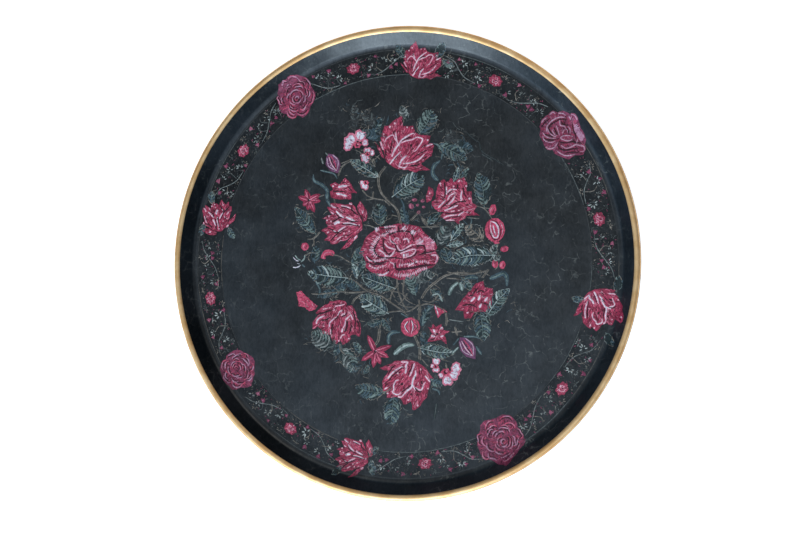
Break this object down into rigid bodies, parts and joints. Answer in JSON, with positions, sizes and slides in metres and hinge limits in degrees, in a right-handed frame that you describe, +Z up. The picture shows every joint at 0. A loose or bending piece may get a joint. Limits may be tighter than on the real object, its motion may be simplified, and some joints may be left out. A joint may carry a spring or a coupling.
{
  "type": "round painted serving tray",
  "caption": "Round black lacquered steel tray with a coved wall, gilded rolled rim and a painted bouquet inside a flowered border.",
  "frame": {"origin": "centre of the flat underside that the tray rests on", "axes": "+Z up out of the tray, the axis of the round dish; +Y towards the top of the painted bouquet; +X to the bouquet's right"},
  "size_m": [0.45, 0.45, 0.0147],
  "materials": {
    "sheet_steel": "pressed, bare under the lacquer",
    "wire_steel": "drawn wire",
    "black_lacquer": "glossy lacquer under clear varnish, finely crazed",
    "black_lacquer_back": "satin black lacquer",
    "gilding": "burnished gilding",
    "paint_grey": "thin oil paint line",
    "paint_umber": "oil paint",
    "paint_teal": "oil paint",
    "paint_crimson": "oil paint, built up in strokes"
  },
  "bodies": {
    "root": {"steel_dish": "sheet_steel", "rim_wire": "wire_steel", "black_lacquer_face": "black_lacquer", "black_lacquer_back": "black_lacquer_back", "gilt_rim": "gilding", "border_lines": "paint_grey", "border_vine": "paint_grey", "border_flowers": "paint_crimson", "bouquet_stems": "paint_umber", "bouquet_leaves": "paint_teal", "bouquet_flowers": "paint_crimson"}
  },
  "joints": []
}
